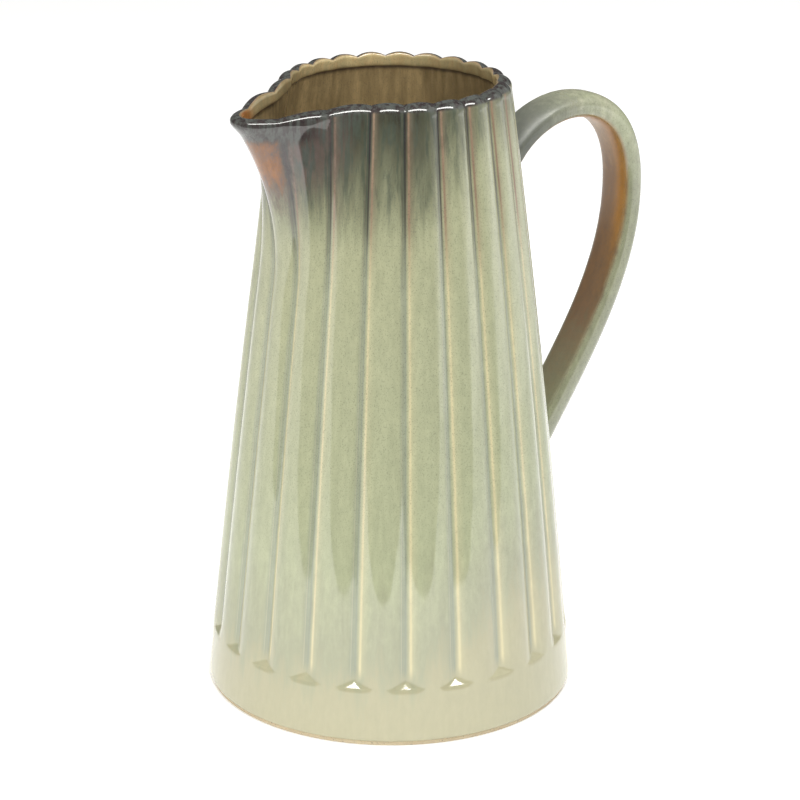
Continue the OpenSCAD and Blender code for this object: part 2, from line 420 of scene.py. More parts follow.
def cut_piece(name, body, material, is_cell):
    """Cuts the cells that is_cell(row, column) names out of the body and closes the cut edges."""
    _, points, normals, groove = body
    cells = {(r, c) for r in range(len(ROWS) - 1) for c in range(N_COLS) if is_cell(r, c)}
    inside = [row[3] for row in ROWS for _ in COLUMNS]
    faces, corner_normals, corner_maps = [], [], []

    def map_of(row, column):
        return (COLUMNS[column % N_COLS] + (FLUTES if column >= N_COLS else 0), ROWS[row][0])

    def add_face(places, flat):
        faces.append([vertex(r, c) for r, c in places])
        if flat:
            a, b, d = (points[vertex(*places[k])] for k in (0, 1, 3))
            normal = np.cross(b - a, d - a)
            normal = normal / max(np.linalg.norm(normal), 1e-12)
            corner_normals.extend([normal] * 4)
        else:
            corner_normals.extend(normals[vertex(r, c)] for r, c in places)
        corner_maps.extend(map_of(r, c) for r, c in places)

    for r, c in sorted(cells):
        add_face([(r, c), (r, c + 1), (r + 1, c + 1), (r + 1, c)], False)
    for (r, c), (r2, c2) in closing_rows(cells):
        add_face([(r, c + 1), (r, c), (r2, c2), (r2, c2 + 1)], True)
    for (r, c), (r2, c2), right in closing_sides(cells):
        ends = [(r, c), (r + 1, c), (r2, c2), (r2 + 1, c2)]
        add_face(ends if right else ends[::-1], True)
    return make_piece(name, points, faces, corner_normals, material, corner_maps,
                      {"groove": groove, "inside": inside})


def closing_rows(cells):
    """Pairs of open row edges, outside with inside, that one flat face closes."""
    pairs = {MARKS["band_out"]: MARKS["band_in"], MARKS["spout_out"]: MARKS["spout_in"],
             MARKS["bead_out"]: MARKS["bead_in"], 0: len(ROWS) - 1}
    for out, inn in pairs.items():
        for c in range(N_COLS):
            above = (out, c) in cells
            below = (out - 1, c) in cells
            if above and not below:
                yield (out, c), (inn, c)
            if below and not above:
                yield (inn, c), (out, c)


def closing_sides(cells):
    """Pairs of open column edges between the spout and the wall beside it."""
    span = MARKS["bead_out"] - MARKS["spout_out"]
    for k in range(span):
        r_out = MARKS["spout_out"] + k
        r_in = MARKS["spout_in"] - k - 1
        for c in (SPOUT_FIRST, SPOUT_END):
            here = (r_out, c % N_COLS) in cells
            before = (r_out, c - 1) in cells
            if here and not before:
                yield (r_out, c), (r_in, c), True
            if before and not here:
                yield (r_out, c), (r_in, c), False


# ---------------------------------------------------------------- the handle

SECTION_STEPS = 48
PATH_STEPS = 48
JOINT_RINGS = 16
STRAP_ENDS = (0.16, 0.84)
OUTER_SQUARENESS = 2.4
INNER_SQUARENESS = 2.8

# The upper print on the wall: its half width and height, its corners and the neck before it
UPPER_PRINT = (11.2 * MM, 13.5 * MM)
PRINT_CORNER = 0.85
PRINT_SINK = 0.35 * MM
UPPER_STRETCH = 4 * MM
NECK_SHARE = 0.62
NECK_LIFT = 0.9 * MM

# The lower print: how far it spreads past the strap's own cut, and where the spreading starts
LOWER_SPREAD = 1.1
LOWER_STRETCH = 0.4
LOWER_NECK = 2.5 * MM
LOWER_NECK_SHARE = 0.35
SLOPE_RINGS = 5


def arc_point(points, t):
    weights = ((1 - t) ** 3, 3 * t * (1 - t) ** 2, 3 * t * t * (1 - t), t ** 3)
    return sum(w * np.array(p) for w, p in zip(weights, points))


UPPER_ARC = ((side_radius(UPPER_ROOT), UPPER_ROOT),
             (side_radius(UPPER_ROOT) + UPPER_LEAVE[0], UPPER_LEAVE[1]),
             (HANDLE_REACH, HANDLE_CROWN), (HANDLE_REACH, HANDLE_SHOULDER))
LOWER_ARC = ((HANDLE_REACH, HANDLE_SHOULDER), (HANDLE_REACH, HANDLE_TURN),
             (side_radius(LOWER_ROOT) + LOWER_LEAVE[0], LOWER_LEAVE[1]),
             (side_radius(LOWER_ROOT), LOWER_ROOT))


def strap_path():
    """Centre line of the strap in the XZ plane, with the direction it runs in."""
    line = [arc_point(UPPER_ARC, t) for t in np.linspace(STRAP_ENDS[0], 1, PATH_STEPS)]
    line += [arc_point(LOWER_ARC, t) for t in np.linspace(0, STRAP_ENDS[1], PATH_STEPS)[1:]]
    line = np.array(line)
    run = np.gradient(line, axis=0)
    return line, run / np.linalg.norm(run, axis=1)[:, None]


def strap_section(outer, inner):
    """(across, out) of the strap's section: a full round outside and a squarer, flatter inside."""
    section = []
    for turn in np.linspace(0, 2 * math.pi, SECTION_STEPS, endpoint=False):
        c, s = math.cos(turn), math.sin(turn)
        power = 2 / (OUTER_SQUARENESS if s >= 0 else INNER_SQUARENESS)
        across = math.copysign(abs(c) ** power, c)
        rise = math.copysign(abs(s) ** power, s)
        section.append((across * STRAP_WIDTH / 2, rise * (outer if s >= 0 else inner)))
    return section


def strap_rings():
    """The strap's sections along its path, and the direction in which it leaves its upper root."""
    line, run = strap_path()
    rings = []
    for k, (centre, way) in enumerate(zip(line, run)):
        outer, inner = (np.interp(k / len(line), STRAP_MARKS, half) for half in (STRAP_OUTER, STRAP_INNER))
        rings.append([(centre[0] - way[1] * n, y, centre[1] + way[0] * n)
                      for y, n in strap_section(outer, inner)])
    return np.array(rings), np.array((run[0][0], 0, run[0][1]))


def on_wall(wall, y, z, sink):
    """The point of the wall on the handle's side at y and z, sunk a little."""
    hit = wall.ray_cast(Vector((0.3, y, z)), Vector((-1, 0, 0)))[0]
    return np.array((hit.x - sink, y, z))


def drawn_out(arcs):
    """Rings of a joint: every arc runs from a point of the strap's end to a point of the print."""
    return [[arc_point(arc, t) for arc in arcs] for t in np.linspace(0, 1, JOINT_RINGS + 1)[1:]]


def upper_joint(wall, ring, way):
    """Rings that flare from the strap's upper end to a rounded print on the wall."""
    arcs = []
    for k, start in enumerate(ring):
        turn = 2 * math.pi * k / SECTION_STEPS
        y, rise = (math.copysign(abs(part) ** PRINT_CORNER, part) * half
                   for part, half in zip((math.cos(turn), math.sin(turn)), UPPER_PRINT))
        end = on_wall(wall, y, UPPER_ROOT + rise, PRINT_SINK)
        neck = on_wall(wall, y * NECK_SHARE, UPPER_ROOT + rise * NECK_SHARE, -NECK_LIFT)
        arcs.append((start, start - way * UPPER_STRETCH, neck, end))
    return drawn_out(arcs)


def lower_joint(wall, ring, earlier_ring):
    """Rings that carry every line of the strap straight on to the wall, where it spreads a little."""
    ways = [(a - b) / np.linalg.norm(a - b) for a, b in zip(ring, earlier_ring)]
    hits = [np.array(wall.ray_cast(Vector(a), Vector(way))[0]) for a, way in zip(ring, ways)]
    middle = np.mean([hit[2] for hit in hits])
    arcs = []
    for start, way, hit in zip(ring, ways, hits):
        reach = np.linalg.norm(hit - start)
        end = on_wall(wall, hit[1] * LOWER_SPREAD, middle + (hit[2] - middle) * LOWER_SPREAD, PRINT_SINK)
        neck = hit - way * min(LOWER_NECK, reach * LOWER_NECK_SHARE)
        arcs.append((start, start + way * reach * LOWER_STRETCH, neck, end))
    return drawn_out(arcs)


def loft_handle(wall):
    """Rings of points from the wall over the strap and back, and the rings that end the two joints."""
    rings, way = strap_rings()
    upper = upper_joint(wall, rings[0], way)[::-1]
    lower = lower_joint(wall, rings[-1], rings[-1 - SLOPE_RINGS])
    whole = np.array(upper + list(rings) + lower)
    return whole, len(upper), len(upper) + len(rings) - 1


def make_handle(wall, material):
    """The strap and its two luted joints, cut from one loft so that they share their edges."""
    rings, first, last = loft_handle(wall)
    count = len(rings)
    points = rings.reshape(-1, 3)
    faces = [[r * SECTION_STEPS + k, r * SECTION_STEPS + (k + 1) % SECTION_STEPS,
              (r + 1) * SECTION_STEPS + (k + 1) % SECTION_STEPS, (r + 1) * SECTION_STEPS + k]
             for r in range(count - 1) for k in range(SECTION_STEPS)]
    whole = bpy.data.meshes.new("handle_whole")
    whole.from_pydata([tuple(p) for p in points], [], faces)
    if signed_volume(points, faces) < 0:
        whole.flip_normals()
        faces = [face[::-1] for face in faces]
    normals = np.empty(len(points) * 3)
    whole.vertex_normals.foreach_get("vector", normals)
    normals = normals.reshape(-1, 3)
    bpy.data.meshes.remove(whole)
    length = np.concatenate([[0], np.cumsum(np.linalg.norm(np.diff(rings.mean(1), axis=0), axis=1))])
    outward = [math.sin(2 * math.pi * k / SECTION_STEPS) for k in range(SECTION_STEPS)] * count

    def part(name, low, high):
        kept = faces[low * SECTION_STEPS:high * SECTION_STEPS]
        corner_normals = [normals[v] for face in kept for v in face]
        maps = [(v % SECTION_STEPS / SECTION_STEPS, length[v // SECTION_STEPS])
                for face in kept for v in face]
        all_faces = list(kept)
        for ring, first_end in ((low, True), (high, False)):
            loop = [ring * SECTION_STEPS + k for k in range(SECTION_STEPS)]
            way = points[loop].mean(0) - points[[(ring + (1 if first_end else -1)) * SECTION_STEPS + k
                                                for k in range(SECTION_STEPS)]].mean(0)
            a, b, d = (points[loop[k * SECTION_STEPS // 3]] for k in range(3))
            if np.dot(np.cross(b - a, d - a), way) < 0:
                loop = loop[::-1]
            all_faces.append(loop)
            corner_normals += [way / np.linalg.norm(way)] * SECTION_STEPS
            maps += [(0.0, 0.0)] * SECTION_STEPS
        return make_piece(name, points, all_faces, corner_normals, material, maps, {"outward": outward})

    return (part("upper_root", 0, first), part("strap_handle", first, last),
            part("lower_root", last, count - 1))


def signed_volume(points, faces):
    """Above zero where the faces of a closed mesh point outward."""
    total = 0.0
    for face in faces:
        a = points[face[0]]
        for b, c in zip(face[1:-1], face[2:]):
            total += np.dot(a, np.cross(points[b], points[c]))
    return total


# ---------------------------------------------------------------- turned pieces

def spun(name, profile, material, steps=FLUTES * STEPS):
    """A closed piece turned from a profile of (radius, height) points, outside first."""
    points, faces, last = [], [], len(profile)
    on_axis = [r < 1e-6 for r, _ in profile]
    start = []
    for (r, z), axis in zip(profile, on_axis):
        start.append(len(points))
        if axis:
            points.append((0.0, 0.0, z))
        else:
            points += [(r * math.cos(2 * math.pi * k / steps), r * math.sin(2 * math.pi * k / steps), z)
                       for k in range(steps)]
    closed = not (on_axis[0] and on_axis[-1])
    for i in range(last if closed else last - 1):
        j = (i + 1) % last
        for k in range(steps):
            n = (k + 1) % steps
            if on_axis[i]:
                faces.append((start[i], start[j] + n, start[j] + k))
            elif on_axis[j]:
                faces.append((start[i] + k, start[i] + n, start[j]))
            else:
                faces.append((start[i] + k, start[i] + n, start[j] + n, start[j] + k))
    mesh = bpy.data.meshes.new(name)
    mesh.from_pydata(points, [], faces)
    if signed_volume(np.array(points), faces) < 0:
        mesh.flip_normals()
    mesh.materials.append(material)
    for polygon in mesh.polygons:
        polygon.use_smooth = True
    piece = bpy.data.objects.new(name, mesh)
    bpy.context.scene.collection.objects.link(piece)
    return piece


RING_WIDTH = 10 * MM
RING_EDGE = 0.7 * MM
RING_GAP = 0.02 * MM
THROWING_RINGS = 9 * MM
THROWING_DEPTH = 0.3 * MM


def make_foot_ring(material):
    """The bare ring the pot stands on, wiped clean of glaze, with softened edges."""
    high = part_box("foot_ring")[1]
    outer, inner, soft = high[0], high[0] - RING_WIDTH, RING_EDGE
    top = FOOT_HEIGHT - RING_GAP
    profile = []
    for cx, cz, first, turn in ((outer - soft, soft, -90, 90), (outer - soft, top, 0, 0),
                                (inner + soft, top, 0, 0), (inner + soft, soft, 180, 90)):
        if turn:
            for k in range(6):
                angle = math.radians(first + turn * k / 5)
                profile.append((cx + soft * math.cos(angle), cz + soft * math.sin(angle)))
        else:
            profile.append((cx + (soft if cx > (outer + inner) / 2 else -soft), cz))
    return spun("bare_foot_ring", profile, material)


def make_floor_disc(material):
    """The pot's floor, with the low rings that the thrower's fingers leave."""
    profile = [(0.0, FLOOR_TOP + 0.5 * MM)]
    for r in np.linspace(1.5 * MM, FLOOR_RADIUS - 0.2 * MM, 60):
        fade = min(1, (FLOOR_RADIUS - r) / (8 * MM))
        wave = THROWING_DEPTH * math.cos(2 * math.pi * r / THROWING_RINGS)
        profile.append((float(r), FLOOR_TOP + fade * wave + fade * 0.2 * MM))
    profile += [(FLOOR_RADIUS, FLOOR_TOP), (FLOOR_RADIUS, FOOT_HEIGHT),
                (FLOOR_RADIUS - 4 * MM, FOOT_HEIGHT), (0.0, FOOT_HEIGHT)]
    return spun("pot_floor", profile, material)


# ---------------------------------------------------------------- glazes and clay

class Colours:
    """Short ways to make the colour and texture nodes of one material."""

    def __init__(self, name):
        self.material = bpy.data.materials.new(name)
        self.material.use_nodes = True
        self.tree = self.material.node_tree
        self.shader = self.tree.nodes["Principled BSDF"]
        spot = self.tree.nodes.new("ShaderNodeTexCoord")
        self.place = spot.outputs["Object"]
        axes = self.tree.nodes.new("ShaderNodeSeparateXYZ")
        self.tree.links.new(self.place, axes.inputs[0])
        self.x, self.y, self.z = (Number(self.tree, axes.outputs[k]) for k in range(3))

    def attribute(self, name):
        node = self.tree.nodes.new("ShaderNodeAttribute")
        node.attribute_name = name
        return Number(self.tree, node.outputs["Fac"])

    def glaze_map(self):
        node = self.tree.nodes.new("ShaderNodeUVMap")
        node.uv_map = "glaze_map"
        axes = self.tree.nodes.new("ShaderNodeSeparateXYZ")
        self.tree.links.new(node.outputs[0], axes.inputs[0])
        return Number(self.tree, axes.outputs[0]), Number(self.tree, axes.outputs[1])

    def noise(self, sideways, upright, detail=3.0, roughness=0.55, twist=0.0, shift=0.0):
        """Noise from 0 to 1; sideways and upright say how many grains there are in a metre."""
        stretch = self.tree.nodes.new("ShaderNodeMapping")
        stretch.inputs["Scale"].default_value = (sideways, sideways, upright)
        stretch.inputs["Location"].default_value = (shift, shift * 0.7, shift * 0.3)
        self.tree.links.new(self.place, stretch.inputs["Vector"])
        node = self.tree.nodes.new("ShaderNodeTexNoise")
        node.inputs["Scale"].default_value = 1.0
        node.inputs["Detail"].default_value = detail
        node.inputs["Roughness"].default_value = roughness
        node.inputs["Distortion"].default_value = twist
        self.tree.links.new(stretch.outputs[0], node.inputs["Vector"])
        return Number(self.tree, node.outputs["Fac"])

    def ramp(self, place, stops):
        node = self.tree.nodes.new("ShaderNodeValToRGB")
        node.color_ramp.interpolation = "LINEAR"
        points = node.color_ramp.elements
        while len(points) < len(stops):
            points.new(0.5)
        for point, (where, colour) in zip(points, stops):
            point.position = where
            point.color = (*colour, 1)
        self.tree.links.new(place.socket, node.inputs["Fac"])
        return node.outputs["Color"]

    def mix(self, amount, first, second, way="MIX"):
        node = self.tree.nodes.new("ShaderNodeMix")
        node.data_type = "RGBA"
        node.blend_type = way
        for socket, value in ((node.inputs[0], amount), (node.inputs[6], first), (node.inputs[7], second)):
            if isinstance(value, Number):
                self.tree.links.new(value.socket, socket)
            elif isinstance(value, bpy.types.NodeSocket):
                self.tree.links.new(value, socket)
            elif isinstance(value, tuple):
                socket.default_value = (*value, 1)
            else:
                socket.default_value = value
        return node.outputs[2]

    def scaled(self, colour, amount):
        """The colour made lighter or darker by a Number."""
        grey = self.tree.nodes.new("ShaderNodeCombineXYZ")
        for socket in grey.inputs:
            self.tree.links.new(amount.socket, socket)
        return self.mix(1.0, colour, grey.outputs[0], "MULTIPLY")

    def finish(self, colour, roughness, relief, depth, gloss=1.75):
        self.tree.links.new(colour, self.shader.inputs["Base Color"])
        if isinstance(roughness, Number):
            self.tree.links.new(roughness.socket, self.shader.inputs["Roughness"])
        else:
            self.shader.inputs["Roughness"].default_value = roughness
        self.shader.inputs["IOR"].default_value = gloss
        bump = self.tree.nodes.new("ShaderNodeBump")
        bump.inputs["Strength"].default_value = 1.0
        bump.inputs["Distance"].default_value = depth
        self.tree.links.new(relief.socket, bump.inputs["Height"])
        self.tree.links.new(bump.outputs[0], self.shader.inputs["Normal"])
        return self.material


# The glaze from the foot up
CREAM = (0.52, 0.495, 0.325)
PALE = (0.43, 0.44, 0.30)
SAGE = (0.482, 0.514, 0.329)
SAGE_HIGH = (0.515, 0.53, 0.338)
OLIVE = (0.25, 0.26, 0.165)
OLIVE_DARK = (0.13, 0.135, 0.088)
OLIVE_BLACK = (0.05, 0.048, 0.036)

# The glaze on the outside of the strap
SAGE_DIM = (0.355, 0.37, 0.245)
SAGE_PALE = (0.56, 0.555, 0.395)

# Lines of thin glaze beside the grooves, brightened on one side as painted highlight, and seams of pooled
# glaze in the grooves, darkened as painted shade, low down and under the rim
BREAK_AND_HIGHLIGHT_LOW = (0.74, 0.68, 0.42)
BREAK_AND_HIGHLIGHT_HIGH = (0.36, 0.25, 0.17)
POOL_AND_SHADE_LOW = (0.34, 0.38, 0.30)
POOL_AND_SHADE_HIGH = (0.028, 0.022, 0.032)

# Where the glaze pooled or broke under the rim and at the spout
TEAL = (0.089, 0.112, 0.086)
SLATE = (0.10, 0.108, 0.098)
VIOLET = (0.158, 0.106, 0.1)
UMBER = (0.045, 0.034, 0.034)
MAROON = (0.15, 0.085, 0.06)
RUST = (0.375, 0.14, 0.032)

# Where it ran thin on the inside of the strap
BROWN = (0.187, 0.109, 0.056)
TOFFEE = (0.232, 0.104, 0.024)
HONEY = (0.41, 0.234, 0.084)
ORANGE = (0.41, 0.185, 0.034)

# The lining of the pot
BUFF = (0.42, 0.30, 0.19)
OCHRE = (0.56, 0.47, 0.25)
KHAKI = (0.46, 0.34, 0.17)
KHAKI_DARK = (0.27, 0.20, 0.10)

# Bare stoneware
CLAY = (0.77, 0.67, 0.48)
CLAY_WARM = (0.68, 0.56, 0.38)


def glaze_grain(paint):
    """The fine grain that every glazed piece shares: streaks, mottling and specks."""
    streak = paint.noise(420, 26, 4.0, 0.6)
    broad = paint.noise(120, 9, 3.0, 0.5, shift=3.1)
    mottle = paint.noise(330, 170, 4.0, 0.65, shift=7.7)
    speck = paint.noise(2300, 1800, 2.0, 0.5, shift=1.3)
    return streak, broad, mottle, speck


def glaze_relief(paint):
    """The soft waves and pin dimples of a thick glaze."""
    return paint.noise(50, 35, 1.0, 0.5, shift=5.0) + paint.noise(700, 500, 2.0, 0.5, shift=2.0) * 0.03


def body_glaze(name):
    """The running glaze of the body: cream at the foot, sage above, and nearly black under the rim."""
    paint = Colours(name)
    flute, height = paint.glaze_map()
    inside = paint.attribute("inside")
    streak, broad, mottle, speck = glaze_grain(paint)
    side = flute - flute.math("ROUND")
    up = height / HEIGHT
    from_spout = abs(flute - FLUTES / 2)
    thin_side = from_spout.ramp(3.2, 6.5) * 0.125
    run = up - thin_side + (broad - 0.5) * 0.12 + (streak - 0.5) * 0.16 + (mottle - 0.5) * 0.09
    colour = paint.ramp(run, ((0.07, CREAM), (0.14, PALE), (0.28, SAGE), (0.78, SAGE_HIGH),
                              (0.87, OLIVE), (0.93, OLIVE_DARK), (1.0, OLIVE_BLACK)))

    # Seams of pooled glaze in the grooves, darkened as painted shade; teal streaks and painted shade on one
    # side of each, and a broken line of thin glaze on the other, brightened as painted highlight
    fluted = up.ramp(0.10, 0.125)
    high = (up + (streak - 0.5) * 0.1).ramp(0.70, 0.86)
    # Pooled glaze in the grooves, darkened as painted shade of the creases
    pool_and_shade = paint.mix(high, POOL_AND_SHADE_LOW, POOL_AND_SHADE_HIGH)
    # The broken line's colour: thin glaze over the shoulder, lightened and warmed as painted highlight
    line = paint.mix(high, BREAK_AND_HIGHLIGHT_LOW, BREAK_AND_HIGHLIGHT_HIGH)
    tint = paint.noise(520, 45, 3.0, 0.6, shift=11.0)
    dark_zone = (up - thin_side + (streak - 0.5) * 0.14).ramp(0.78, 0.93)
    colour = paint.mix(tint.ramp(0.46, 0.62) * dark_zone * 0.65, colour, TEAL)
    # Painted shade and pooled glaze at the bottom of each groove
    deep = (abs(side) - 0.5).bell(0.032)
    # Teal streaks and painted shade on one flank beside each groove, as if it faced away from the light
    teal_streak_and_shade = (side - 0.43 + (streak - 0.5) * 0.06).bell(0.045) * (0.35 + streak * 0.7)
    colour = paint.mix(teal_streak_and_shade.clamped() * fluted, colour, paint.mix(high, POOL_AND_SHADE_LOW, TEAL))
    colour = paint.mix(deep * fluted * 0.8, colour, pool_and_shade)
    pale_line = (side - 0.415).bell(0.010) * 0.3
    # Painted highlight: the thin-glaze line and its halo on this side of each groove are much brighter than
    # the pale line on the other
    halo = (side + 0.36).bell(0.09) * 0.28
    break_line_and_highlight = halo + (side + 0.40 + (streak - 0.5) * 0.02).bell(0.030) * (0.6 + streak * 0.6)
    colour = paint.mix((break_line_and_highlight + pale_line).clamped() * fluted, colour, line)

    # Violet and slate beside the spout, and rust between two dark folds under its tip; the folds are dark
    # glaze in the grooves, darkened as painted shade
    ragged = from_spout + (mottle - 0.5) * 0.25
    tip = (up + (streak - 0.5) * 0.08).ramp(0.80, 0.91)
    beside = (1 - ragged.ramp(1.1, 2.6)) * (up + (streak - 0.5) * 0.12).ramp(0.82, 0.93)
    colour = paint.mix((beside * 0.7).clamped(), colour, paint.mix(tint.ramp(0.4, 0.6), VIOLET, SLATE))
    burnt = paint.mix(((mottle - 0.5) * 3 + (up - 0.93) * 9 + 0.15).clamped(), RUST, MAROON)
    burnt = paint.mix((1 - (up + (tint - 0.5) * 0.12).ramp(0.86, 0.91)) * 0.8, burnt, VIOLET)
    colour = paint.mix(((1 - ragged.ramp(0.34, 0.50)) * tip * 0.92).clamped(), colour, burnt)
    # The two dark folds: dark glaze in the grooves beside the tip, darkened as painted shade
    colour = paint.mix(((ragged - 0.5).bell(0.09) * tip * 0.8).clamped(), colour, UMBER)

    # The nearly black rim, and the khaki lining with its paler collar, a dark line of glaze and painted
    # shadow under the collar, and painted light and shade round the inside
    crown = paint.mix(tint.ramp(0.4, 0.6), UMBER, SLATE)
    under_lip = (1 - from_spout.ramp(0.6, 1.6)) * (up + (mottle - 0.5) * 0.02).ramp(0.948, 0.966)
    colour = paint.mix((inside.ramp(0.06, 0.24) + under_lip).clamped(), colour, crown)
    inner_edge = paint.mix(mottle.ramp(0.4, 0.6), BUFF, KHAKI_DARK)
    colour = paint.mix(inside.ramp(0.55, 0.66), colour, inner_edge)
    stripes = paint.ramp(broad * 0.6 + streak * 0.4, ((0.35, KHAKI_DARK), (0.65, KHAKI)))
    lining = paint.mix(up.ramp(0.976, 0.984), stripes, paint.mix(mottle.ramp(0.3, 0.7), OCHRE, KHAKI))
    # A thin dark line under the collar: dark glaze and painted shadow of the collar's step
    lining = paint.mix((up - 0.9785).bell(0.0035) * 0.7, lining, UMBER)
    # Painted light and shade inside: the lining is darker near the spout, lightest part way round and
    # darkest on the handle's side
    lining = paint.scaled(lining, 0.8 + from_spout.ramp(2, 4.5) * 0.6 - from_spout.ramp(7, 11) * 0.75)
    colour = paint.mix(inside.ramp(0.72, 0.9), colour, lining)
    ember = (1 - ragged.ramp(0.3, 0.7)) * inside.ramp(0.7, 0.9) * up.ramp(0.86, 0.94)
    colour = paint.mix(ember.clamped(), colour, RUST)

    # Mottling, strongest in the dark zone, and specks
    strength = 0.15 + up.ramp(0.1, 0.3) * 0.2 + dark_zone * 0.75
    colour = paint.scaled(colour, 1 + ((mottle - 0.5) + (streak - 0.5) * 0.7) * strength)
    dots = speck.ramp(0.56, 0.66) * up.ramp(0.12, 0.5)
    colour = paint.mix(dots * 0.32, colour, SLATE)
    return paint.finish(colour, 0.03 + speck * 0.04, glaze_relief(paint), 0.2 * MM)


def handle_glaze(name):
    """The same glaze on the strap: sage outside, brown and rust where it thinned out inside."""
    paint = Colours(name)
    streak, broad, mottle, speck = glaze_grain(paint)
    outward = paint.attribute("outward")
    up = paint.z / HEIGHT
    run = up + (broad - 0.5) * 0.2 + (mottle - 0.5) * 0.12
    colour = paint.ramp(run, ((0.35, SAGE_DIM), (0.72, SAGE_DIM), (0.86, SAGE), (0.97, SAGE_PALE)))
    root = (1 - (paint.x + (mottle - 0.5) * 30 * MM).ramp(60 * MM, 108 * MM)) * up.ramp(0.70, 0.84)
    colour = paint.mix((root * (0.6 + mottle * 0.6)).clamped(), colour, SLATE)
    inner = 1 - (outward + (mottle - 0.5) * 0.35).ramp(-0.85, -0.45)
    under = paint.ramp(up + (mottle - 0.5) * 0.15,
                       ((0.38, OLIVE), (0.55, BROWN), (0.78, TOFFEE), (0.92, HONEY)))
    colour = paint.mix(inner, colour, under)
    edge = (paint.y + 5.4 * MM + (mottle - 0.5) * 2 * MM).bell(3.2 * MM)
    edge = edge * (1 - outward.ramp(-0.7, -0.35))
    edge = edge * (up + (mottle - 0.5) * 0.1).ramp(0.60, 0.76)
    colour = paint.mix((edge * 0.9).clamped(), colour, ORANGE)
    colour = paint.scaled(colour, 1 + ((mottle - 0.5) + (streak - 0.5) * 0.7) * 0.5)
    colour = paint.mix(speck.ramp(0.56, 0.66) * 0.3, colour, SLATE)
    dull = 0.04 + speck * 0.05 + inner * 0.3 + root * 0.45
    return paint.finish(colour, dull, glaze_relief(paint), 0.2 * MM)


def floor_glaze(name):
    """Glaze pooled on the floor inside."""
    paint = Colours(name)
    streak, broad, mottle, speck = glaze_grain(paint)
    colour = paint.ramp(broad * 0.5 + mottle * 0.5, ((0.35, KHAKI_DARK), (0.65, KHAKI)))
    colour = paint.mix(speck.ramp(0.60, 0.68) * 0.35, colour, SLATE)
    return paint.finish(colour, 0.1, glaze_relief(paint), 0.25 * MM)


def bare_clay(name):
    """Unglazed stoneware, buff with darker iron specks."""
    paint = Colours(name)
    grit = paint.noise(900, 900, 4.0, 0.7)
    stain = paint.noise(90, 90, 3.0, 0.5)
    colour = paint.scaled(paint.mix(stain, CLAY, CLAY_WARM), 0.8 + grit * 0.35)
    colour = paint.mix(paint.noise(1500, 1500, 1.0).ramp(0.66, 0.72) * 0.6, colour, UMBER)
    return paint.finish(colour, 0.8, grit, 0.2 * MM, 1.3)


# ---------------------------------------------------------------- camera, floor and light

# The camera's place in heights of the pot, and its angles in radians
CAMERA_DISTANCE = 4.6579 * HEIGHT
CAMERA_HEIGHT = 2.1507 * HEIGHT
CAMERA_PITCH = 0.3462
CAMERA_YAW = 0.0029
CAMERA_ROLL = 0.0097
CAMERA_TURN = math.radians(-38)
CAMERA_LENS = 138.75

# The table's front edge, and how its painted glow in the glaze fades to the sides
TABLE_EDGE = 0.35
TABLE_FADE = (0.12, 0.6)
TABLE_WHITE = (0.93, 0.93, 0.92)
# Painted dark room: the table's colour beyond its front edge for every ray but the camera's
PAINTED_DARK_ROOM = (0.12, 0.12, 0.12)

WHITE = (1.0, 0.99, 0.96)
WARM_WHITE = (1.0, 0.97, 0.90)


def make_camera():
    data = bpy.data.cameras.new("camera")
    data.lens = CAMERA_LENS
    data.sensor_width = 36
    camera = bpy.data.objects.new("camera", data)
    bpy.context.scene.collection.objects.link(camera)
    forward = Vector((math.sin(CAMERA_YAW) * math.cos(CAMERA_PITCH),
                      math.cos(CAMERA_YAW) * math.cos(CAMERA_PITCH), -math.sin(CAMERA_PITCH)))
    right = forward.cross(Vector((0, 0, 1))).normalized()
    up = right.cross(forward)
    c, s = math.cos(CAMERA_ROLL), math.sin(CAMERA_ROLL)
    right, up = right * c + up * s, up * c - right * s
    turned = Matrix((right, up, -forward)).transposed().to_4x4()
    turned.translation = Vector((0, -CAMERA_DISTANCE, CAMERA_HEIGHT))
    camera.matrix_world = Matrix.Rotation(CAMERA_TURN, 4, "Z") @ turned
    bpy.context.scene.camera = camera


def around(degrees, distance, height):
    """A place around the pot; 0 degrees is towards the camera and 90 is to its right."""
    angle = math.radians(degrees) - math.pi / 2 + CAMERA_TURN
    return Vector((distance * math.cos(angle), distance * math.sin(angle), height))


def make_light(name, place, aim, size, power, colour, glossy=False):
    """A soft lamp: a glossy one only shows in the glaze, any other only lights it."""
    data = bpy.data.lights.new(name, "AREA")
    data.shape = "RECTANGLE"
    data.size, data.size_y = size
    data.energy = power
    data.color = colour
    light = bpy.data.objects.new(name, data)
    bpy.context.scene.collection.objects.link(light)
    light.location = place
    light.rotation_euler = (Vector(aim) - place).to_track_quat("-Z", "Y").to_euler()
    light.visible_glossy = glossy
    light.visible_diffuse = not glossy


def make_world():
    world = bpy.data.worlds.new("soft light")
    world.use_nodes = True
    world.node_tree.nodes["Background"].inputs["Color"].default_value = (1.0, 0.99, 0.97, 1)
    world.node_tree.nodes["Background"].inputs["Strength"].default_value = 0.1
    bpy.context.scene.world = world


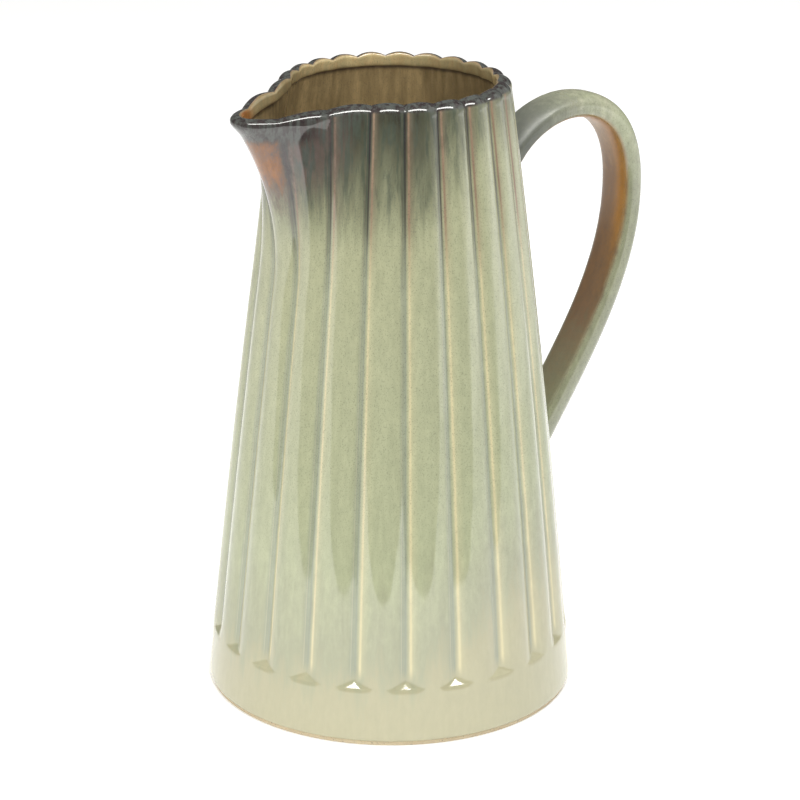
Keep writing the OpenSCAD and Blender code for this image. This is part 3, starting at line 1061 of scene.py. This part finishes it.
def make_stage_floor():
    """A pale table that glows a little for the camera. In the glaze it glows as a painted reflection up to
    its front edge, and beyond that edge it is painted dark, as a dark room, in reflections and bounced
    light.
    """
    mesh = bpy.data.meshes.new("table_top")
    reach = 8
    mesh.from_pydata([(-reach, -reach, 0), (reach, -reach, 0), (reach, reach, 0), (-reach, reach, 0)], [],
                     [(0, 1, 2, 3)])
    paint = Colours("white_table")
    to_camera = around(0, 1, 0)
    ahead = paint.x * to_camera.x + paint.y * to_camera.y
    far = ahead.ramp(TABLE_EDGE, TABLE_EDGE + 10 * MM)
    lights = paint.tree.nodes.new("ShaderNodeLightPath")
    seen = Number(paint.tree, lights.outputs["Is Camera Ray"])
    # Beyond the front edge the table is painted dark in reflections and bounced light
    hidden = (far * (1 - seen)).clamped()
    colour = paint.mix(hidden, TABLE_WHITE, PAINTED_DARK_ROOM)
    paint.tree.links.new(colour, paint.shader.inputs["Base Color"])
    paint.shader.inputs["Roughness"].default_value = 0.9
    paint.shader.inputs["Specular IOR Level"].default_value = 0.1
    paint.shader.inputs["Emission Color"].default_value = (1, 1, 1, 1)
    to_side = around(90, 1, 0)
    aside = abs(paint.x * to_side.x + paint.y * to_side.y).ramp(*TABLE_FADE)
    # Painted reflection: the table glows in glossy rays up to its front edge, fading to the sides
    painted_reflection_glow = Number(paint.tree, lights.outputs["Is Glossy Ray"]) * (1 - far) * (1 - aside * 0.7)
    paint.tree.links.new((seen * 0.35 + painted_reflection_glow * 0.6).socket, paint.shader.inputs["Emission Strength"])
    mesh.materials.append(paint.material)
    floor = bpy.data.objects.new("table_top", mesh)
    bpy.context.scene.collection.objects.link(floor)


def make_lights():
    card, fill = (0.9, 1.2), (1.6, 1.5)
    level, middle = (0, 0, 0.6), (0, 0, 0.12)
    make_light("left card", around(-79, 0.7, 0.6), level, card, 0.7, (1.0, 0.95, 0.86), glossy=True)
    make_light("right card", around(95, 0.7, 0.6), level, card, 1.8, (1.0, 0.98, 0.93), glossy=True)
    make_light("left fill", around(-78, 1.5, 0.75), middle, fill, 4.6, WARM_WHITE)
    make_light("right fill", around(95, 1.5, 0.75), middle, fill, 7, (0.97, 0.99, 1.0))
    make_light("front fill", around(-12, 1.8, 0.8), middle, (2.0, 1.5), 20.5, WHITE)
    make_light("top strip", around(6, 0.86, 2.0), (0, 0, 0.03), (2.9, 0.5), 62, WHITE, glossy=True)
    make_light("top fill", around(14, 0.62, 2.0), middle, (0.8, 0.6), 16, WHITE)
    make_light("table light", Vector((0.3, 0.4, 2.4)), (0, 0, 0), (3, 3), 34, (1, 1, 1))


# ---------------------------------------------------------------- the pot

def build():
    """Makes every piece and puts each in the place of its CAD node."""
    band, wall = body_glaze("band_glaze"), body_glaze("wall_glaze")
    spout, rim = body_glaze("spout_glaze"), body_glaze("rim_glaze")
    body = form_body(wall)

    def in_spout(r, c):
        return SPOUT_FIRST <= c < SPOUT_END and (MARKS["spout_out"] <= r < MARKS["bead_out"]
                                                 or MARKS["bead_in"] <= r < MARKS["spout_in"])

    def in_band(r, c):
        return r < MARKS["band_out"] or r >= MARKS["band_in"]

    def in_rim(r, c):
        return MARKS["bead_out"] <= r < MARKS["bead_in"]

    def in_wall(r, c):
        return not (in_spout(r, c) or in_band(r, c) or in_rim(r, c))

    pieces = [
        (make_foot_ring(bare_clay("bare_clay")), "foot_ring", "bare_clay"),
        (make_floor_disc(floor_glaze("floor_glaze")), "floor_disc", "floor_glaze"),
        (cut_piece("plain_band", body, band, in_band), "base_band", "band_glaze"),
        (cut_piece("fluted_side", body, wall, in_wall), "fluted_wall", "wall_glaze"),
        (cut_piece("pulled_spout", body, spout, in_spout), "spout", "spout_glaze"),
        (cut_piece("rolled_rim", body, rim, in_rim), "rim_bead", "rim_glaze"),
    ]
    surface = BVHTree.FromPolygons([tuple(p) for p in body[1]],
                                   [tuple(f.vertices) for f in body[0].polygons])
    strap = make_handle(surface, handle_glaze("handle_glaze"))
    for piece, node in zip(strap, ("handle_upper_joint", "handle", "handle_lower_joint")):
        pieces.append((piece, node, "handle_glaze"))
    bpy.data.meshes.remove(body[0])
    for piece, node, slot in pieces:
        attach(piece, "root")
        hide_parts(node)


bpy.context.scene.view_settings.view_transform = "Standard"
build()
make_stage_floor()
make_world()
make_lights()
make_camera()
